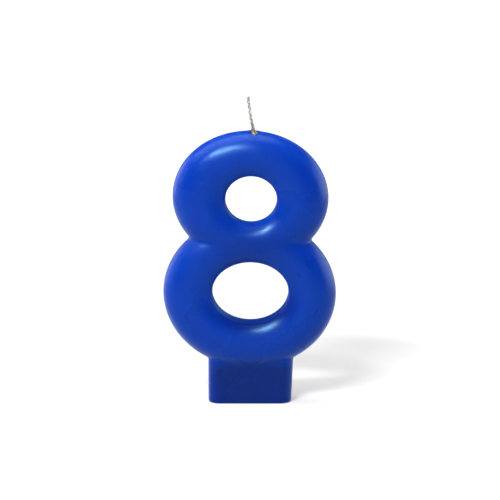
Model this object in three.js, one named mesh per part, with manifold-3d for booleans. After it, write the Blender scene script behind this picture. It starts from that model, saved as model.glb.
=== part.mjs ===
// A numeral candle: a puffy figure 8 of dyed paraffin wax on a flat foot tab, with a twisted cotton wick.
// Millimetres, +Z up, +Y away from the front. The origin is the middle of the footprint, under the foot tab.
import * as THREE from "three";
import { mergeVertices } from "three/addons/utils/BufferGeometryUtils.js";
import Module from "manifold-3d";

const wasm = await Module();
wasm.setup();

// The figure: two fused rings. Each ring lies between an outer and an inner ellipse, both turned a little,
// so that the right-hand end hangs lower. half is the half width and the half height, tilt is in degrees.
const lowerRing = {
  outer: { centre: [0, 31], half: [24, 21.2], tilt: 2.9 },
  inner: { centre: [0.2, 31.4], half: [10.5, 8.5], tilt: 0.5 },
};
const upperRing = {
  outer: { centre: [0.25, 57.75], half: [21.5, 18.35], tilt: 2.9 },
  inner: { centre: [0.4, 57.2], half: [7.05, 6.55], tilt: 1.9 },
};
const ringHalfDepth = 6.2; // the figure is 12.4 thick at the crown of its strokes
const ringSteps = 60;
const strokeSteps = 20;
const landAngle = 36; // the last degrees of the round on the hole's side are cut off, for a straight wall

// The foot tab: a stadium in plan, upright on its left edge and drafted on its right one.
const footLeft = -11.65;
const footRight = 12.4;
const footHalfThickness = 3.5;
const footTop = 15.5; // inside the bottom stroke of the lower ring
const footDraft = 0.042; // how far the right edge comes in for each millimetre down
const footCornerRadius = 0.75;
const footCornerSteps = 5;
const footEndSteps = 12;

// The wick: three plies round one line, which leans at the tip and follows the right-hand stroke inside.
const plyCount = 3;
const plyRadius = 0.18;
const plyOffset = 0.24; // from the middle of the wick to the middle of a ply
const plySides = 7;
const lay = 4.4; // one full turn of the twist
const stepsPerLay = 9;
const wickRadius = plyOffset + plyRadius;
const wickTip = [-0.47, -1.3, 85.6];
const wickRise = [
  [-0.12, -1.38, 82.7],
  [0.33, -1.45, 79.7],
  [0.81, -1.5, 77.5],
];
const wickExit = [1.25, -1.5, 75.5];
const wickDive = [2.35, -1.1, 71.9];
const strokeAngles = [62, 38, 14, -10, -34, -58]; // where it follows the middle of the upper ring's stroke

// The channel that the wick fills, and the crater at its mouth.
const clearance = 0.3;
const channelRadius = wickRadius + clearance;
const channelSides = 10;
const channelSteps = 48;
const craterDepth = 0.75;
const craterFloorRadius = 1.1;
const craterRimRadius = 1.3;

// The primer wax that has run down to the wick's foot.
const beadBoreGap = 0.12;
const beadBoreRadius = wickRadius + beadBoreGap;
const beadFootRadius = 0.95;
const beadWaistRadius = 0.78;
const beadNeckRadius = 0.62;
const beadHeight = 1.9;
const beadSides = 20;

const waxMaterial = new THREE.MeshStandardMaterial({ color: 0x0b3fb8, roughness: 0.42, metalness: 0 });
const cottonMaterial = new THREE.MeshStandardMaterial({ color: 0xd8d8d6, roughness: 0.9, metalness: 0 });
const primerMaterial = new THREE.MeshStandardMaterial({ color: 0xb5a887, roughness: 0.5, metalness: 0 });

// A closed mesh as a solid that can be joined and cut.
function toSolid(geometry) {
  const bare = geometry.clone();
  bare.deleteAttribute("normal");
  bare.deleteAttribute("uv");
  const merged = mergeVertices(bare, 1e-4);
  const mesh = new wasm.Mesh({
    numProp: 3,
    vertProperties: new Float32Array(merged.attributes.position.array),
    triVerts: new Uint32Array(merged.index.array),
  });
  return new wasm.Manifold(mesh);
}

// A solid as a geometry to draw.
function toGeometry(solid) {
  const mesh = solid.getMesh();
  const geometry = new THREE.BufferGeometry();
  geometry.setAttribute("position", new THREE.BufferAttribute(mesh.vertProperties, 3));
  geometry.setIndex(new THREE.BufferAttribute(mesh.triVerts, 1));
  geometry.computeVertexNormals();
  return geometry;
}

// The point of a tilted ellipse at an angle, in the plane of the figure: x across, y up.
function onEllipse(ellipse, angle) {
  const across = ellipse.half[0] * Math.cos(angle);
  const up = ellipse.half[1] * Math.sin(angle);
  const point = new THREE.Vector2(across, up).rotateAround(
    new THREE.Vector2(),
    THREE.MathUtils.degToRad(-ellipse.tilt),
  );
  return point.add(new THREE.Vector2(...ellipse.centre));
}

// A point that lies in another ring's hole, moved straight out to the edge of that hole.
function clearOfHole(point, hole) {
  const middle = new THREE.Vector2(...hole.centre);
  const turn = THREE.MathUtils.degToRad(hole.tilt);
  const offset = point.clone().sub(middle);
  const level = offset.clone().rotateAround(new THREE.Vector2(), turn);
  const reach = Math.hypot(level.x / hole.half[0], level.y / hole.half[1]);
  return reach < 1 ? middle.addScaledVector(offset, 1 / reach) : point;
}

// One ring: a torus whose hole and rim are drawn out to the two ellipses. Its stroke is round, but for the
// straight wall that the mould's core leaves in the hole. Where its rim would close part of the other
// ring's hole, the rim follows the edge of that hole.
function ringGeometry(ring, otherRing) {
  const tube = 0.25;
  const geometry = new THREE.TorusGeometry(1, tube, strokeSteps, ringSteps);
  const position = geometry.attributes.position;
  const land = Math.cos(THREE.MathUtils.degToRad(landAngle));
  for (let i = 0; i < position.count; i++) {
    const x = position.getX(i);
    const y = position.getY(i);
    const angle = Math.atan2(y, x);
    const outward = (Math.hypot(x, y) - 1) / tube;
    const share = (land + Math.max(outward, -land)) / (land + 1);
    const rim = clearOfHole(onEllipse(ring.outer, angle), otherRing.inner);
    const hole = onEllipse(ring.inner, angle);
    const spot = hole.lerp(rim, share);
    position.setXYZ(i, spot.x, (-ringHalfDepth * position.getZ(i)) / tube, spot.y);
  }
  return geometry;
}

// The foot tab: a prism with a stadium plan whose round ends are drawn in to make the bottom corners.
function footGeometry() {
  const middle = (footLeft + footRight) / 2;
  const halfFlat = (footRight - footLeft) / 2 - footHalfThickness;
  const plan = new THREE.Shape();
  plan.absarc(halfFlat, 0, footHalfThickness, -Math.PI / 2, Math.PI / 2);
  plan.absarc(-halfFlat, 0, footHalfThickness, Math.PI / 2, (3 * Math.PI) / 2);
  const rows = footCornerSteps + 1;
  const geometry = new THREE.ExtrudeGeometry(plan, {
    depth: rows,
    steps: rows,
    curveSegments: footEndSteps,
    bevelEnabled: false,
  });
  const position = geometry.attributes.position;
  for (let i = 0; i < position.count; i++) {
    const row = Math.round(position.getZ(i));
    const swing = (Math.min(row, footCornerSteps) / footCornerSteps) * (Math.PI / 2);
    const inset = footCornerRadius * (1 - Math.sin(swing));
    const z = row > footCornerSteps ? footTop : footCornerRadius * (1 - Math.cos(swing));
    const side = Math.sign(position.getX(i));
    const draft = side > 0 ? footDraft * (footTop - z) : 0;
    position.setX(i, position.getX(i) + middle - side * inset - draft);
    position.setZ(i, z);
  }
  return geometry;
}

// The middle line of the wick, from its tip to its cut end deep in the upper ring's right-hand stroke.
function wickLine() {
  const inStroke = strokeAngles.map((degrees) => {
    const angle = THREE.MathUtils.degToRad(degrees);
    const rim = onEllipse(upperRing.outer, angle);
    const spot = onEllipse(upperRing.inner, angle).lerp(rim, 0.5);
    return new THREE.Vector3(spot.x, 0, spot.y);
  });
  const shown = [wickTip, ...wickRise, wickExit, wickDive].map((p) => new THREE.Vector3(...p));
  const line = new THREE.CatmullRomCurve3([...shown, ...inStroke], false, "centripetal");
  line.arcLengthDivisions = 400;
  return line;
}

// A ply: the wick's line, wound round itself at a constant lay.
class PlyCurve extends THREE.Curve {
  constructor(line, phase) {
    super();
    this.line = line;
    this.phase = phase;
    this.arcLengthDivisions = 1500;
  }

  getPoint(t, target = new THREE.Vector3()) {
    const along = this.line.getTangentAt(t);
    const side = new THREE.Vector3(0, 1, 0).cross(along).normalize();
    const front = along.clone().cross(side);
    const turn = this.phase + (2 * Math.PI * t * this.line.getLength()) / lay;
    return target
      .copy(this.line.getPointAt(t))
      .addScaledVector(side, plyOffset * Math.cos(turn))
      .addScaledVector(front, plyOffset * Math.sin(turn));
  }
}

function roundSection(radius, sides) {
  const corners = [];
  for (let i = 0; i < sides; i++) {
    const angle = (2 * Math.PI * i) / sides;
    corners.push(new THREE.Vector2(radius * Math.cos(angle), radius * Math.sin(angle)));
  }
  return new THREE.Shape(corners);
}

function plyGeometry(line, phase) {
  return new THREE.ExtrudeGeometry(roundSection(plyRadius, plySides), {
    extrudePath: new PlyCurve(line, phase),
    steps: Math.round((line.getLength() / lay) * stepsPerLay),
    bevelEnabled: false,
  });
}

// Where on the line, as the curve's own parameter, the wick leaves the wax.
function exitParameter(line) {
  return (1 + wickRise.length) / (line.points.length - 1);
}

// The way the wick points as it leaves the wax, towards its tip.
function riseDirection(line) {
  return line.getTangent(exitParameter(line)).negate();
}

// The channel: it follows the wick from above the crater to just past the wick's cut end.
function channelGeometry(line) {
  const points = [];
  for (let i = 0; i <= channelSteps; i++) {
    points.push(line.getPoint(THREE.MathUtils.lerp(exitParameter(line), 1, i / channelSteps)));
  }
  const start = points[0].clone().addScaledVector(riseDirection(line), 2 * craterDepth);
  const end = points.at(-1).clone().addScaledVector(line.getTangent(1), clearance);
  const path = new THREE.CatmullRomCurve3([start, ...points, end], false, "centripetal");
  return new THREE.ExtrudeGeometry(roundSection(channelRadius, channelSides), {
    extrudePath: path,
    steps: channelSteps,
    bevelEnabled: false,
  });
}

// A turned ring or plug made along +Z and stood along the wick at its exit.
function standAtExit(geometry, line) {
  const tilt = new THREE.Quaternion().setFromUnitVectors(new THREE.Vector3(0, 0, 1), riseDirection(line));
  return geometry.applyQuaternion(tilt).translate(...wickExit);
}

function craterGeometry(line) {
  const profile = [
    new THREE.Vector2(0, -craterDepth / 2),
    new THREE.Vector2(craterFloorRadius, -craterDepth / 2),
    new THREE.Vector2(craterRimRadius, craterDepth / 2),
    new THREE.Vector2(craterRimRadius, craterDepth * 2),
    new THREE.Vector2(0, craterDepth * 2),
  ];
  return standAtExit(new THREE.LatheGeometry(profile, beadSides).rotateX(Math.PI / 2), line);
}

function waxNumeral(line) {
  const lower = toSolid(ringGeometry(lowerRing, upperRing));
  const figure = lower.add(toSolid(ringGeometry(upperRing, lowerRing)));
  const withFoot = figure.add(toSolid(footGeometry()));
  const withCrater = withFoot.subtract(toSolid(craterGeometry(line)));
  const finished = withCrater.subtract(toSolid(channelGeometry(line)));
  const mesh = new THREE.Mesh(toGeometry(finished), waxMaterial);
  mesh.name = "wax_numeral";
  return mesh;
}

function wickPly(line, index) {
  const phase = (2 * Math.PI * index) / plyCount;
  const mesh = new THREE.Mesh(plyGeometry(line, phase), cottonMaterial.clone());
  mesh.name = `wick_ply_${index + 1}`;
  return mesh;
}

// The primer wax: a small bell round the wick, wide where it meets the crater's floor.
function wickWaxBead(line) {
  const foot = -craterDepth / 2 + clearance / 2;
  const profile = [
    new THREE.Vector2(beadBoreRadius, foot),
    new THREE.Vector2(beadFootRadius, foot),
    new THREE.Vector2(beadFootRadius, foot + beadHeight / 5),
    new THREE.Vector2(beadWaistRadius, foot + beadHeight / 2),
    new THREE.Vector2(beadNeckRadius, foot + beadHeight),
    new THREE.Vector2(beadBoreRadius, foot + beadHeight),
    new THREE.Vector2(beadBoreRadius, foot),
  ];
  const turned = new THREE.LatheGeometry(profile, beadSides).rotateX(Math.PI / 2);
  const mesh = new THREE.Mesh(standAtExit(turned, line), primerMaterial);
  mesh.name = "wick_wax_bead";
  return mesh;
}

const line = wickLine();
const candle = new THREE.Group();
candle.add(waxNumeral(line));
candle.add(wickWaxBead(line));
for (let index = 0; index < plyCount; index++) {
  candle.add(wickPly(line, index));
}

export default candle;
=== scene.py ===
import math

import bmesh
import bpy
import numpy as np
from mathutils import Matrix, Vector, noise


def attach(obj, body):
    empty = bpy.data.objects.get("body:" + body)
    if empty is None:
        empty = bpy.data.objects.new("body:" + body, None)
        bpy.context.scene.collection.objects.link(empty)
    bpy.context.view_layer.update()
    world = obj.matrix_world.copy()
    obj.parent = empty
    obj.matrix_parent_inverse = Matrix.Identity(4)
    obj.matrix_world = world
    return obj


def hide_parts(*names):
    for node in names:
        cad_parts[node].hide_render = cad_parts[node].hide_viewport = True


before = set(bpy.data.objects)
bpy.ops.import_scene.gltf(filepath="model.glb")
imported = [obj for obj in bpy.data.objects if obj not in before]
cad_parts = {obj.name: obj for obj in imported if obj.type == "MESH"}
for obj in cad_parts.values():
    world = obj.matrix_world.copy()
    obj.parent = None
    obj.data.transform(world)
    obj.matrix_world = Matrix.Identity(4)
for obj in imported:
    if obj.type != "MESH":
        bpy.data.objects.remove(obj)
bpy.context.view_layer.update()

# Everything is modelled in millimetres and brought down to metres as its mesh is finished.
metresPerMm = 0.001
scene = bpy.context.scene
scene.view_settings.view_transform = "Standard"


# ---- camera

cameraSet = {
    "lookAt": (0.1, 0.0, 42.95),  # the middle of the candle and its wick, mm
    "distance": 500.0,
    "elevation": 10.0,
    "lens": 130.1,
    "sensor": 36.0,
}


def addCamera(look):
    data = bpy.data.cameras.new("studioCamera")
    data.lens = look["lens"]
    data.sensor_width = look["sensor"]
    data.clip_start = 0.01
    camera = bpy.data.objects.new("studioCamera", data)
    scene.collection.objects.link(camera)
    tilt = math.radians(look["elevation"])
    away = Vector((0, -math.cos(tilt), math.sin(tilt)))
    camera.location = (Vector(look["lookAt"]) + away * look["distance"]) * metresPerMm
    camera.rotation_euler = (math.pi / 2 - tilt, 0, 0)
    scene.camera = camera


addCamera(cameraSet)
print("camera set")


# ---- materials

def toLinear(hexColour):
    channels = [int(hexColour[i:i + 2], 16) / 255 for i in (1, 3, 5)]
    linear = [c / 12.92 if c <= 0.04045 else ((c + 0.055) / 1.055) ** 2.4 for c in channels]
    return (*linear, 1.0)


# adds one node with its properties, and sets or links its inputs, named or numbered
def addNode(tree, kind, inputs=None, **settings):
    node = tree.nodes.new(kind)
    for name, value in settings.items():
        setattr(node, name, value)
    for name, value in (inputs or {}).items():
        if isinstance(value, bpy.types.NodeSocket):
            tree.links.new(value, node.inputs[name])
        else:
            node.inputs[name].default_value = value
    return node


def newMaterial(name):
    material = bpy.data.materials.new(name)
    material.use_nodes = True
    material.node_tree.nodes.clear()
    return material, material.node_tree


# the scale of a pattern whose features are this many millimetres across, on Object coordinates
def perMm(featureSize):
    return 1.0 / (featureSize * metresPerMm)


mixA, mixB, mixColour = 6, 7, 2  # a Mix node's colour sockets
# a Map Range node's inputs: 0 is the value, 1 and 2 are its range, 3 and 4 are what that becomes

dyedWax = {
    "body": "#012580",
    # the darker blue: used for random clouds and for the painted shade
    "deep": "#01115A",
    "bloom": "#2450B0",
    "bloomShare": 0.12,
    "roughness": (0.24, 0.34),
    "gloss": 0.24,
    "glossTint": "#A2E7FF",
    "sheenTint": "#89E7FF",
    "wallRoughness": 0.7,
    "wallGloss": 0.02,
    "scatterDepth": 4.0,  # mm
    "cloudSize": 13.0,
    "cloudShare": 0.1,
    "speckSize": 0.8,
    "streakSize": 0.42,
    "streakLength": 1.5,
    "streakHeight": 0.032,
    "streakTurn": 32.0,  # degrees: it turns the noise that the streaks are cut from, not the streaks
    "pebbleSize": 2.6,
    "pebbleHeight": 0.02,
}


# Dyed paraffin wax cast in a polished mould: a deep royal blue that glows a little from within,
# satin, with flow streaks and a pebbled skin that break up its highlights. Shade is also painted
# into its colour: darker in the foot, the middle bar and under the lower hole.
def dyedParaffinCast(look):
    material, tree = newMaterial("dyedParaffinCast")
    place = addNode(tree, "ShaderNodeTexCoord").outputs["Object"]
    cloud = addNode(tree, "ShaderNodeTexNoise", {
        "Vector": place, "Scale": perMm(look["cloudSize"]), "Detail": 3.0})
    # painted shade stored on the mesh: the wax is coloured darker in the foot, the middle bar and under the
    # lower hole
    paintedShadeNode = addNode(tree, "ShaderNodeAttribute", attribute_name="paintedShade")
    cloudShare = addNode(tree, "ShaderNodeMapRange", {
        0: cloud.outputs[0], 1: 0.3, 2: 0.7, 3: look["cloudShare"], 4: 0.0})
    shadeAndCloudShare = addNode(tree, "ShaderNodeMath", {
        0: paintedShadeNode.outputs["Fac"], 1: cloudShare.outputs[0]}, operation="ADD")
    speck = addNode(tree, "ShaderNodeTexNoise", {
        "Vector": place, "Scale": perMm(look["speckSize"]), "Detail": 4.0, "Roughness": 0.7})
    speckShare = addNode(tree, "ShaderNodeMapRange", {
        0: speck.outputs[0], 1: 0.5, 2: 0.8, 3: 0.0, 4: look["bloomShare"]})
    # the body blue, darkened both by random clouds and by the painted shade
    dyeAndShade = addNode(tree, "ShaderNodeMix", {
        0: shadeAndCloudShare.outputs[0], mixA: toLinear(look["body"]), mixB: toLinear(look["deep"])},
        data_type="RGBA")
    colour = addNode(tree, "ShaderNodeMix", {
        0: speckShare.outputs[0], mixA: dyeAndShade.outputs[mixColour], mixB: toLinear(look["bloom"])},
        data_type="RGBA")
    roughness = addNode(tree, "ShaderNodeMapRange", {
        0: cloud.outputs[0], 1: 0.3, 2: 0.7, 3: look["roughness"][0], 4: look["roughness"][1]})
    # the walls that the mould's cores left in the holes are dull
    wall = addNode(tree, "ShaderNodeAttribute", attribute_name="coredWall")
    dulled = addNode(tree, "ShaderNodeMapRange", {
        0: wall.outputs["Fac"], 3: roughness.outputs[0], 4: look["wallRoughness"]})
    gloss = addNode(tree, "ShaderNodeMapRange", {
        0: wall.outputs["Fac"], 3: look["gloss"], 4: look["wallGloss"]})
    # level flow streaks: the node stretches the noise before it turns it, so they lie along X
    drawn = addNode(tree, "ShaderNodeMapping", {
        "Vector": place, "Rotation": (0, math.radians(look["streakTurn"]), 0),
        "Scale": (look["streakSize"] / look["streakLength"], 1.0, 1.0)})
    streak = addNode(tree, "ShaderNodeTexNoise", {
        "Vector": drawn.outputs[0], "Scale": perMm(look["streakSize"]), "Detail": 2.0})
    pebble = addNode(tree, "ShaderNodeTexNoise", {
        "Vector": place, "Scale": perMm(look["pebbleSize"]), "Detail": 2.0})
    streakBump = addNode(tree, "ShaderNodeBump", {
        "Height": streak.outputs[0], "Distance": look["streakHeight"] * metresPerMm})
    pebbleBump = addNode(tree, "ShaderNodeBump", {
        "Height": pebble.outputs[0], "Distance": look["pebbleHeight"] * metresPerMm,
        "Normal": streakBump.outputs[0]})
    shader = addNode(tree, "ShaderNodeBsdfPrincipled", {
        "Base Color": colour.outputs[mixColour],
        "Roughness": dulled.outputs[0],
        "IOR": 1.44,
        "Specular IOR Level": gloss.outputs[0],
        "Specular Tint": toLinear(look["glossTint"]),
        "Sheen Weight": 0.12,
        "Sheen Roughness": 0.35,
        "Sheen Tint": toLinear(look["sheenTint"]),
        "Subsurface Weight": 1.0,
        "Subsurface Radius": (0.05, 0.4, 1.0),
        "Subsurface Scale": look["scatterDepth"] * metresPerMm,
        "Normal": pebbleBump.outputs[0]})
    addNode(tree, "ShaderNodeOutputMaterial", {"Surface": shader.outputs[0]})
    return material


primerWax = {
    "pale": "#746B58",
    "tan": "#4E4738",
    "roughness": 0.38,
    "cloudSize": 0.6,  # mm
    "rippleHeight": 0.04,
    "scatterDepth": 0.4,
}


# Undyed paraffin that the wick was dipped in: tan, cloudy and a little glossy.
def primerParaffin(look):
    material, tree = newMaterial("primerParaffin")
    place = addNode(tree, "ShaderNodeTexCoord").outputs["Object"]
    cloud = addNode(tree, "ShaderNodeTexNoise", {
        "Vector": place, "Scale": perMm(look["cloudSize"]), "Detail": 3.0})
    share = addNode(tree, "ShaderNodeMapRange", {0: cloud.outputs[0], 1: 0.35, 2: 0.65})
    colour = addNode(tree, "ShaderNodeMix", {
        0: share.outputs[0], mixA: toLinear(look["tan"]), mixB: toLinear(look["pale"])},
        data_type="RGBA")
    ripple = addNode(tree, "ShaderNodeBump", {
        "Height": cloud.outputs[0], "Distance": look["rippleHeight"] * metresPerMm})
    shader = addNode(tree, "ShaderNodeBsdfPrincipled", {
        "Base Color": colour.outputs[mixColour],
        "Roughness": look["roughness"],
        "IOR": 1.44,
        "Subsurface Weight": 1.0,
        "Subsurface Radius": (1.0, 0.8, 0.5),
        "Subsurface Scale": look["scatterDepth"] * metresPerMm,
        "Normal": ripple.outputs[0]})
    addNode(tree, "ShaderNodeOutputMaterial", {"Surface": shader.outputs[0]})
    return material


wickYarn = {
    "dry": "#8F8F8D",
    "waxed": "#6E695C",
    "shade": "#7A7976",
    "shadeShare": 0.22,
    "scatterDepth": 0.35,  # mm
    "waxedUpTo": (76.2, 81.0),  # mm above the table: tan below, dry above
    "fibreHeight": 0.015,  # mm
    "fibreWidth": 0.06,  # mm, drawn three times as coarse as real cotton so that it shows
}


# Bleached cotton yarn, twisted and dipped: matt and fibrous, pale grey at the tip and tan where wax
# soaked in.
def bleachedCottonYarn(look):
    material, tree = newMaterial("bleachedCottonYarn")
    place = addNode(tree, "ShaderNodeTexCoord").outputs["Object"]
    apart = addNode(tree, "ShaderNodeSeparateXYZ", {0: place})
    low, high = (height * metresPerMm for height in look["waxedUpTo"])
    dryShare = addNode(tree, "ShaderNodeMapRange", {0: apart.outputs["Z"], 1: low, 2: high})
    # upright fibres, five times as long as they are wide
    drawn = addNode(tree, "ShaderNodeMapping", {"Vector": place, "Scale": (1.0, 1.0, 0.2)})
    fibre = addNode(tree, "ShaderNodeTexNoise", {
        "Vector": drawn.outputs[0], "Scale": perMm(look["fibreWidth"]), "Detail": 2.0})
    soak = addNode(tree, "ShaderNodeMix", {
        0: dryShare.outputs[0], mixA: toLinear(look["waxed"]), mixB: toLinear(look["dry"])},
        data_type="RGBA")
    fibreShare = addNode(tree, "ShaderNodeMapRange", {
        0: fibre.outputs[0], 1: 0.3, 2: 0.6, 3: look["shadeShare"], 4: 0.0})
    colour = addNode(tree, "ShaderNodeMix", {
        0: fibreShare.outputs[0], mixA: soak.outputs[mixColour], mixB: toLinear(look["shade"])},
        data_type="RGBA")
    fibreBump = addNode(tree, "ShaderNodeBump", {
        "Height": fibre.outputs[0], "Distance": look["fibreHeight"] * metresPerMm})
    shader = addNode(tree, "ShaderNodeBsdfPrincipled", {
        "Base Color": colour.outputs[mixColour],
        "Roughness": 0.85,
        "IOR": 1.5,
        "Subsurface Weight": 0.8,
        "Subsurface Radius": (1.0, 1.0, 1.0),
        "Subsurface Scale": look["scatterDepth"] * metresPerMm,
        "Sheen Weight": 0.25,
        "Normal": fibreBump.outputs[0]})
    addNode(tree, "ShaderNodeOutputMaterial", {"Surface": shader.outputs[0]})
    return material


# ---- wax numeral

numeral = {
    # each ring lies between two ellipses: centre and half sizes in mm, tilt in degrees, right end down
    "rings": (
        {"outer": (0.0, 31.0, 24.0, 21.2, 2.9), "inner": (0.2, 31.4, 10.5, 8.5, 0.5)},
        {"outer": (0.25, 57.75, 21.5, 18.35, 2.9), "inner": (0.4, 57.2, 7.05, 6.55, 1.9)},
    ),
    "halfDepth": 6.05,
    "landAngle": 36.0,  # the last degrees of the round on a hole's side are cut off by its straight wall
    "landDraft": 0.04,  # how far the wall leans back for each millimetre from the middle
    "landEdgeRadius": 0.5,
    "waistBlend": 0.9,  # how softly the rings run into each other, mm
    "footLeft": -11.65,
    "footRight": 12.4,
    "footDraft": 0.042,
    "footTop": 15.5,
    "footHalfThickness": 3.5,
    "footCornerRadius": 0.75,
    "footEdgeRadius": 0.35,
    # painted shade, where the wax is coloured darker in the foot, the middle bar and under the lower hole:
    # mm, and shares from 0 to 1
    "footShadeTop": 13.0,
    "footShadeFade": 3.0,
    "footSideShade": 0.35,
    "barShade": 0.45,
    "barCentre": 45.0,
    "barHalf": (11.0, 5.5),
    "ledgeShadeFade": 2.3,
    "ledgeShadeFacing": (0.3, 0.7, 0.25),  # everywhere, and more of it at the bottom and on the right
    "wallFade": 0.45,  # how far the dull walls of the holes reach, mm
    "footBlend": 0.5,
    "craterRadius": 0.95,
    "craterDepth": 0.75,
    "lipRadius": 1.9,
    "lipHeight": 0.16,
    "lipWidth": 0.45,
    "craterReach": 4.0,  # the wax is changed only this far along the wick
    "grid": 0.36,  # the size of the finished mesh's faces, mm
    "settleRounds": 3,
    "smoothPasses": 3,
    "smoothShare": 0.5,
    "settleAfterPass": 2,
    "footRoundSteps": 8,
    "ringSteps": 96,
    "strokeSteps": 40,
}

wickLine = {
    "points": (
        (-0.47, -1.3, 85.6), (-0.12, -1.38, 82.7), (0.33, -1.45, 79.7), (0.81, -1.5, 77.5),
        (1.25, -1.5, 75.5), (2.35, -1.1, 71.9)),
    "exit": 4,  # the number of the point where it leaves the wax
    "strokeAngles": (62, 38, 14, -10, -34, -58),  # then it follows the upper ring's right-hand stroke
}


def onEllipse(ellipse, angle):
    centreX, centreZ, halfX, halfZ, tilt = ellipse
    turn = -math.radians(tilt)
    across = halfX * math.cos(angle)
    up = halfZ * math.sin(angle)
    return (centreX + across * math.cos(turn) - up * math.sin(turn),
            centreZ + across * math.sin(turn) + up * math.cos(turn))


# how far points lie outside an ellipse in the plane of the numeral, in mm
def outsideEllipse(points, ellipse):
    centreX, centreZ, halfX, halfZ, tilt = ellipse
    turn = math.radians(tilt)
    dx = points[:, 0] - centreX
    dz = points[:, 2] - centreZ
    across = dx * math.cos(turn) - dz * math.sin(turn)
    up = dx * math.sin(turn) + dz * math.cos(turn)
    reach = np.hypot(across / halfX, up / halfZ) + 1e-6
    slope = np.hypot(across / halfX ** 2, up / halfZ ** 2) / reach + 1e-6
    return (reach - 1) / slope


def softMin(a, b, blend):
    share = np.maximum(blend - np.abs(a - b), 0) / blend
    return np.minimum(a, b) - share ** 2 * blend / 4


# a ring's own rim gives way to the other ring's hole, and its stroke is round but for the wall in its hole
def ringField(points, ring, other, look):
    ownRim = -outsideEllipse(points, ring["outer"])
    fromRim = softMin(ownRim, outsideEllipse(points, other["inner"]), look["waistBlend"])
    fromHole = outsideEllipse(points, ring["inner"])
    halfWidth = (fromRim + fromHole) / (1 + math.cos(math.radians(look["landAngle"])))
    across = 1 - fromRim / halfWidth
    stroke = (np.hypot(across, points[:, 1] / look["halfDepth"]) - 1) * halfWidth
    wall = look["landDraft"] * np.abs(points[:, 1]) - fromHole
    return -softMin(-stroke, -wall, look["landEdgeRadius"])


def footField(points, look):
    half = look["footHalfThickness"]
    x, y, z = points.T
    right = look["footRight"] - look["footDraft"] * (look["footTop"] - z)
    middle = (look["footLeft"] + right) / 2
    reach = (right - look["footLeft"]) / 2
    flat = np.maximum(np.abs(x - middle) - (reach - half), 0)
    plan = np.hypot(flat, y) - half
    radius = look["footCornerRadius"]
    outX = np.maximum(np.abs(x - middle) - (reach - radius), 0)
    outZ = np.maximum(radius - z, 0)
    front = np.maximum(np.hypot(outX, outZ) - radius, z - look["footTop"])
    return -softMin(-plan, -front, look["footEdgeRadius"])


# the distance of each point outside the wax, in mm: below nought inside it
def waxField(points, look, exit, rise):
    low, high = look["rings"]
    figure = softMin(
        ringField(points, low, high, look), ringField(points, high, low, look), look["waistBlend"])
    wax = softMin(figure, footField(points, look), look["footBlend"])
    offset = points - np.array(exit)
    along = offset @ np.array(rise)
    fromWick = np.linalg.norm(offset - along[:, None] * np.array(rise), axis=1)
    nearExit = np.abs(along) < look["craterReach"]
    crater = look["craterDepth"] * np.exp(-(fromWick / look["craterRadius"]) ** 2)
    lip = look["lipHeight"] * np.exp(-((fromWick - look["lipRadius"]) / look["lipWidth"]) ** 2)
    return wax + nearExit * (crater - lip)


# moves points straight onto the surface of the wax
def settleOnWax(bm, look, exit, rise, rounds):
    points = np.array([v.co for v in bm.verts])
    step = 0.01
    flattest = 0.05  # holds a move back where the field hardly slopes
    for _ in range(rounds):
        value = waxField(points, look, exit, rise)
        slope = np.stack([
            (waxField(points + offset, look, exit, rise) - value) / step
            for offset in np.eye(3) * step], axis=1)
        points -= slope * (value / np.maximum((slope ** 2).sum(axis=1), flattest))[:, None]
    for vertex, point in zip(bm.verts, points):
        vertex.co = point


# a spun torus, drawn out between the ring's two ellipses
def addRing(bm, ring, look):
    tube = 0.25
    land = math.cos(math.radians(look["landAngle"]))
    before = set(bm.verts)
    section = bmesh.ops.create_circle(
        bm, segments=look["strokeSteps"], radius=tube,
        matrix=Matrix.Translation((1, 0, 0)) @ Matrix.Rotation(math.pi / 2, 4, "X"))["verts"]
    edges = list({edge for vertex in section for edge in vertex.link_edges})
    bmesh.ops.spin(
        bm, geom=section + edges, cent=(0, 0, 0), axis=(0, 0, 1), angle=2 * math.pi,
        steps=look["ringSteps"], use_merge=True)
    made = [vertex for vertex in bm.verts if vertex not in before]
    for vertex in made:
        x, y, z = vertex.co
        angle = math.atan2(y, x)
        share = (land + max((math.hypot(x, y) - 1) / tube, -land)) / (land + 1)
        holeX, holeZ = onEllipse(ring["inner"], angle)
        rimX, rimZ = onEllipse(ring["outer"], angle)
        vertex.co = (holeX + (rimX - holeX) * share, -look["halfDepth"] * z / tube,
                     holeZ + (rimZ - holeZ) * share)


def addFoot(bm, look):
    almostAll = 0.99  # a full half would leave the narrow ends no face
    half = look["footHalfThickness"]
    middle = (look["footLeft"] + look["footRight"]) / 2
    block = bmesh.ops.create_cube(bm, size=1.0)["verts"]
    bmesh.ops.scale(bm, vec=(look["footRight"] - look["footLeft"], 2 * half, look["footTop"]), verts=block)
    bmesh.ops.translate(bm, vec=(middle, 0, look["footTop"] / 2), verts=block)
    upright = [edge for vertex in block for edge in vertex.link_edges
               if abs(edge.verts[0].co.z - edge.verts[1].co.z) > half]
    bmesh.ops.bevel(
        bm, geom=list(set(upright)), offset=half * almostAll, affect="EDGES",
        segments=look["footRoundSteps"], profile=0.5, material=-1)


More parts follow.
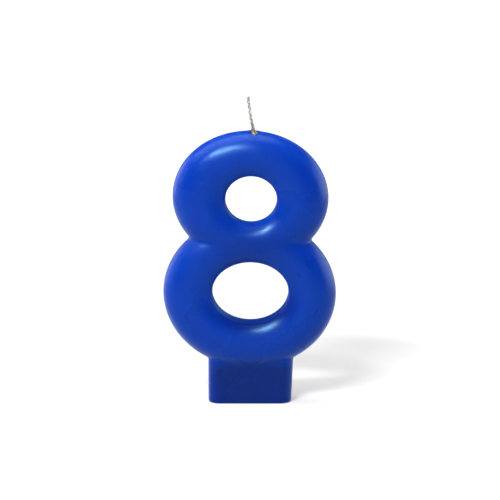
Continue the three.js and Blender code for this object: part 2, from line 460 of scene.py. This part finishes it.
# a smooth line through the points, as evenly spaced samples, and how far along it each one is
def centripetal(points, count):
    perSpan = 40
    knots = [Vector(p) for p in points]
    knots = [2 * knots[0] - knots[1]] + knots + [2 * knots[-1] - knots[-2]]
    dense = []
    for a, b, c, d in zip(knots, knots[1:], knots[2:], knots[3:]):
        t1 = math.sqrt((b - a).length)
        t2 = t1 + math.sqrt((c - b).length)
        t3 = t2 + math.sqrt((d - c).length)
        for i in range(perSpan):
            t = t1 + (t2 - t1) * i / perSpan
            ab = a.lerp(b, t / t1)
            bc = b.lerp(c, (t - t1) / (t2 - t1))
            cd = c.lerp(d, (t - t2) / (t3 - t2))
            abc = ab.lerp(bc, t / t2)
            bcd = bc.lerp(cd, (t - t1) / (t3 - t1))
            dense.append(abc.lerp(bcd, (t - t1) / (t2 - t1)))
    dense.append(knots[-2])
    dense = np.array(dense)
    steps = np.linalg.norm(np.diff(dense, axis=0), axis=1)
    along = np.concatenate([[0], np.cumsum(steps)])
    even = np.linspace(0, along[-1], count)
    return np.stack([np.interp(even, along, dense[:, k]) for k in range(3)], axis=1), even


def wickRoute(look):
    upper = numeral["rings"][1]
    points = list(look["points"])
    for degrees in look["strokeAngles"]:
        angle = math.radians(degrees)
        hole = onEllipse(upper["inner"], angle)
        rim = onEllipse(upper["outer"], angle)
        points.append(((hole[0] + rim[0]) / 2, 0.0, (hole[1] + rim[1]) / 2))
    return points


wickPoints = wickRoute(wickLine)
wickExit = Vector(wickLine["points"][wickLine["exit"]])
wickAbove = Vector(wickPoints[wickLine["exit"] - 1])
wickBelow = Vector(wickPoints[wickLine["exit"] + 1])
wickRise = (wickAbove - wickBelow).normalized()


def finishPiece(name, mesh, material, node):
    mesh.transform(Matrix.Scale(metresPerMm, 4))
    mesh.materials.clear()
    mesh.materials.append(material)
    mesh.shade_smooth()
    piece = bpy.data.objects.new(name, mesh)
    scene.collection.objects.link(piece)
    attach(piece, "root")
    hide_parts(node)


def toMesh(bm, name):
    bmesh.ops.recalc_face_normals(bm, faces=bm.faces)
    mesh = bpy.data.meshes.new(name)
    bm.to_mesh(mesh)
    bm.free()
    return mesh


# the solids are fused into one skin of even faces
def fuse(mesh, grid):
    holder = bpy.data.objects.new("fusing", mesh)
    scene.collection.objects.link(holder)
    remesh = holder.modifiers.new("fuse", "REMESH")
    remesh.mode = "VOXEL"
    remesh.voxel_size = grid
    seen = holder.evaluated_get(bpy.context.evaluated_depsgraph_get())
    fused = bpy.data.meshes.new_from_object(seen)
    bpy.data.objects.remove(holder)
    return fused


# painted shade: how much darker the wax is coloured at each point, darkest in the foot, also in the
# middle bar and under the lower hole; and where the cored walls of the holes are
def markShadeAndWalls(mesh, look):
    x, y, z = np.array([vertex.co for vertex in mesh.vertices]).T
    middle = (look["footLeft"] + look["footRight"]) / 2
    half = (look["footRight"] - look["footLeft"]) / 2
    fade = look["footShadeFade"]
    inFoot = np.clip((look["footShadeTop"] - z) / fade, 0, 1)
    fromSide = np.clip((half - np.abs(x - middle)) / fade, 0, 1)
    foot = inFoot * (look["footSideShade"] + (1 - look["footSideShade"]) * fromSide)
    barHalfX, barHalfZ = look["barHalf"]
    bar = look["barShade"] * np.exp(-((z - look["barCentre"]) / barHalfZ) ** 2 - (x / barHalfX) ** 2)
    points = np.stack([x, y, z], axis=1)
    low, high = look["rings"]
    centreX, centreZ, halfX, halfZ, _ = low["inner"]
    allRound, below, right = look["ledgeShadeFacing"]
    facing = allRound + below * (centreZ - z) / halfZ + right * (x - centreX) / halfX
    fromLow = outsideEllipse(points, low["inner"])
    fromHigh = outsideEllipse(points, high["inner"])
    # painted shade under the lower hole, with more of it at the bottom and on the right
    ledgeShade = np.clip(facing, 0, 1) * np.exp(-(fromLow / look["ledgeShadeFade"]) ** 2)
    wall = np.exp(-(np.minimum(fromLow, fromHigh) / look["wallFade"]) ** 2)
    for name, value in (("paintedShade", foot + bar + ledgeShade), ("coredWall", wall)):
        attribute = mesh.attributes.new(name, "FLOAT", "POINT")
        attribute.data.foreach_set("value", np.clip(value, 0, 1).astype(np.float32))


def makeNumeral(look):
    bm = bmesh.new()
    for ring in look["rings"]:
        addRing(bm, ring, look)
    addFoot(bm, look)
    fused = fuse(toMesh(bm, "numeralSolids"), look["grid"])
    bm = bmesh.new()
    bm.from_mesh(fused)
    settleOnWax(bm, look, wickExit, wickRise, look["settleRounds"])
    for _ in range(look["smoothPasses"]):
        bmesh.ops.smooth_vert(
            bm, verts=bm.verts, factor=look["smoothShare"],
            use_axis_x=True, use_axis_y=True, use_axis_z=True)
        settleOnWax(bm, look, wickExit, wickRise, look["settleAfterPass"])
    mesh = toMesh(bm, "waxCasting")
    markShadeAndWalls(mesh, look)
    return mesh


numeralMesh = makeNumeral(numeral)
print("numeral cast:", len(numeralMesh.polygons), "faces")
finishPiece("waxCasting", numeralMesh, dyedParaffinCast(dyedWax), "wax_numeral")


# ---- wick

wick = {
    "plies": 3,
    "plyRadius": 0.195,
    "plyOffset": 0.225,
    "lay": 4.4,
    "yarns": 6,  # bundles that show along each ply
    "yarnDepth": 0.13,
    "yarnLay": 1.5,
    "sides": 24,
    "stepLength": 0.16,
    "length": 51.0,
    "gapAt": 1.9,  # mm above the wax, where the plies stand a little apart
    "gapReach": 0.8,
    "gapSpread": 0.5,
    "tipReach": 0.9,  # and so they do at the tip
    "tipSpread": 0.35,
}


def makePly(look, index):
    points, along = centripetal(wickPoints, 2 + int(look["length"] / look["stepLength"]))
    exitAt = along[np.argmin(np.linalg.norm(points - np.array(wickExit), axis=1))]
    bm = bmesh.new()
    ring = bmesh.ops.create_circle(bm, cap_ends=True, segments=look["sides"], radius=look["plyRadius"])
    for vertex in ring["verts"]:
        angle = math.atan2(vertex.co.y, vertex.co.x)
        vertex.co *= 1 + look["yarnDepth"] * math.cos(look["yarns"] * angle)
    frames = []
    tangents = np.gradient(points, axis=0)
    centres = []
    for point, tangent, s in zip(points, tangents, along):
        forward = Vector(tangent).normalized()
        side = Vector((0, 1, 0)).cross(forward).normalized()
        front = forward.cross(side)
        turn = 2 * math.pi * (index / look["plies"] + s / look["lay"])
        above = exitAt - s
        spread = 1 + look["gapSpread"] * math.exp(-((above - look["gapAt"]) / look["gapReach"]) ** 2)
        spread += look["tipSpread"] * math.exp(-(s / look["tipReach"]) ** 2)
        reach = look["plyOffset"] * spread
        centres.append(Vector(point) + side * reach * math.cos(turn) + front * reach * math.sin(turn))
        frames.append((side, front))
    matrices = []
    for i, centre in enumerate(centres):
        ahead = centres[min(i + 1, len(centres) - 1)] - centres[max(i - 1, 0)]
        forward = ahead.normalized()
        side = (frames[i][0] - forward * frames[i][0].dot(forward)).normalized()
        front = forward.cross(side)
        turn = -2 * math.pi * along[i] / look["yarnLay"]
        basis = Matrix((side, front, forward)).transposed().to_4x4()
        matrices.append(Matrix.Translation(centre) @ basis @ Matrix.Rotation(turn, 4, "Z"))
    # the capped section is pushed along the line, one step at a time
    bmesh.ops.transform(bm, matrix=matrices[0], verts=bm.verts)
    cap = bm.faces[:]
    for last, following in zip(matrices, matrices[1:]):
        grown = bmesh.ops.extrude_face_region(bm, geom=cap)["geom"]
        cap = [part for part in grown if isinstance(part, bmesh.types.BMFace)]
        newest = [part for part in grown if isinstance(part, bmesh.types.BMVert)]
        bmesh.ops.transform(bm, matrix=following @ last.inverted(), verts=newest)
    return toMesh(bm, f"wickPly{index + 1}")


cotton = bleachedCottonYarn(wickYarn)
for index in range(wick["plies"]):
    finishPiece(f"wickPly{index + 1}", makePly(wick, index), cotton, f"wick_ply_{index + 1}")
print("wick twisted")


# ---- primer wax at the wick's foot

bead = {
    # distance from the wick's middle and height, mm
    "profile": (
        (0.0, -0.5), (0.8, -0.5), (1.06, -0.28), (0.98, -0.02), (0.78, 0.3), (0.62, 0.75),
        (0.53, 1.25), (0.47, 1.6), (0.3, 1.66), (0.0, 1.62)),
    "steps": 40,
    "lumpHeight": 0.05,
    "lumpsPerMm": 1.7,
}


def makeBead(look):
    bm = bmesh.new()
    verts = [bm.verts.new((r, 0, z)) for r, z in look["profile"]]
    edges = [bm.edges.new(pair) for pair in zip(verts, verts[1:])]
    bmesh.ops.spin(
        bm, geom=verts + edges, cent=(0, 0, 0), axis=(0, 0, 1), angle=2 * math.pi,
        steps=look["steps"], use_merge=True)
    bmesh.ops.remove_doubles(bm, verts=bm.verts, dist=0.001)
    bmesh.ops.subdivide_edges(bm, edges=bm.edges, cuts=1, use_grid_fill=True, smooth=0.7)
    for vertex in bm.verts:
        vertex.co += vertex.co.normalized() * look["lumpHeight"] * noise.noise(vertex.co * look["lumpsPerMm"])
    turn = Vector((0, 0, 1)).rotation_difference(wickRise).to_matrix().to_4x4()
    bmesh.ops.transform(bm, matrix=Matrix.Translation(wickExit) @ turn, verts=bm.verts)
    return toMesh(bm, "primerWaxBead")


finishPiece("primerWaxBead", makeBead(bead), primerParaffin(primerWax), "wick_wax_bead")
print("primer wax set")


# ---- light table, lights and surroundings

studio = {
    "floorColour": "#9C9C9C",
    "floorGlow": 0.5,  # how strongly the lit table shines on the candle
    "floorShown": (0.38, 1.0),  # how strongly it shines to the camera, beside the candle and far off
    "floorFade": (0.05, 0.45),  # m from the candle
    "floorSize": 6.0,  # m
    "room": 0.08,  # how bright the unlit room is beside the white backdrop
    # from the middle of the candle: direction, distance, width and height in m, power in W
    "softboxes": {
        "keySoftbox": ((-0.3, -0.66, 0.65), 0.55, 0.2, 0.06, 6.0),
        "topSoftbox": ((0.0, 0.0, 1.0), 0.3, 0.2, 0.2, 0.72),
        "topLeftSoftbox": ((-0.55, 0.0, 0.8), 0.33, 0.2, 0.2, 0.6),
        "leftPanel": ((-1.0, 0.05, 0.15), 0.7, 0.5, 0.5, 1.3),
        "rightPanel": ((1.0, 0.05, 0.15), 0.7, 0.5, 0.5, 3.0),
        "leftBackPanel": ((-0.8, 0.55, 0.15), 0.7, 0.4, 0.5, 1.7),
        "rightBackPanel": ((0.8, 0.55, 0.15), 0.7, 0.4, 0.5, 1.4),
        "frontFill": ((-0.1, -0.95, 0.2), 1.0, 0.6, 0.6, 1.5),
    },
}


# Milky acrylic, matt and lit from below. To the camera alone it is dimmer beside the candle and white
# far off.
def addFloor(look):
    bm = bmesh.new()
    bmesh.ops.create_grid(bm, x_segments=2, y_segments=2, size=look["floorSize"] / 2)
    mesh = bpy.data.meshes.new("floor")
    bm.to_mesh(mesh)
    bm.free()
    floor = bpy.data.objects.new("floor", mesh)
    scene.collection.objects.link(floor)
    material, tree = newMaterial("milkyAcrylic")
    ray = addNode(tree, "ShaderNodeLightPath")
    place = addNode(tree, "ShaderNodeTexCoord")
    away = addNode(tree, "ShaderNodeVectorMath", {0: place.outputs["Object"]}, operation="LENGTH")
    shown = addNode(tree, "ShaderNodeMapRange", {
        0: away.outputs["Value"], 1: look["floorFade"][0], 2: look["floorFade"][1],
        3: look["floorShown"][0], 4: look["floorShown"][1]})
    glow = addNode(tree, "ShaderNodeMapRange", {
        0: ray.outputs["Is Camera Ray"], 3: look["floorGlow"], 4: shown.outputs[0]})
    shader = addNode(tree, "ShaderNodeBsdfPrincipled", {
        "Base Color": toLinear(look["floorColour"]), "Roughness": 0.9, "Specular IOR Level": 0.1,
        "Emission Color": (1, 1, 1, 1), "Emission Strength": glow.outputs[0]})
    addNode(tree, "ShaderNodeOutputMaterial", {"Surface": shader.outputs[0]})
    mesh.materials.append(material)


def addSoftbox(name, away, distance, width, height, power):
    data = bpy.data.lights.new(name, "AREA")
    data.shape = "RECTANGLE"
    data.size = width
    data.size_y = height
    data.energy = power
    light = bpy.data.objects.new(name, data)
    scene.collection.objects.link(light)
    direction = Vector(away).normalized()
    light.location = Vector(cameraSet["lookAt"]) * metresPerMm + direction * distance
    light.rotation_euler = direction.to_track_quat("Z", "Y").to_euler()


def addSurroundings(look):
    world = bpy.data.worlds.new("whiteBackdrop")
    scene.world = world
    world.use_nodes = True
    tree = world.node_tree
    tree.nodes.clear()
    room = addNode(tree, "ShaderNodeBackground", {"Color": (1, 1, 1, 1), "Strength": look["room"]})
    backdrop = addNode(tree, "ShaderNodeBackground", {"Color": (1, 1, 1, 1), "Strength": 1.0})
    ray = addNode(tree, "ShaderNodeLightPath")
    both = addNode(tree, "ShaderNodeMixShader", {
        0: ray.outputs["Is Camera Ray"], 1: room.outputs[0], 2: backdrop.outputs[0]})
    addNode(tree, "ShaderNodeOutputWorld", {0: both.outputs[0]})


addFloor(studio)
for name, settings in studio["softboxes"].items():
    addSoftbox(name, *settings)
addSurroundings(studio)
print("studio lit")
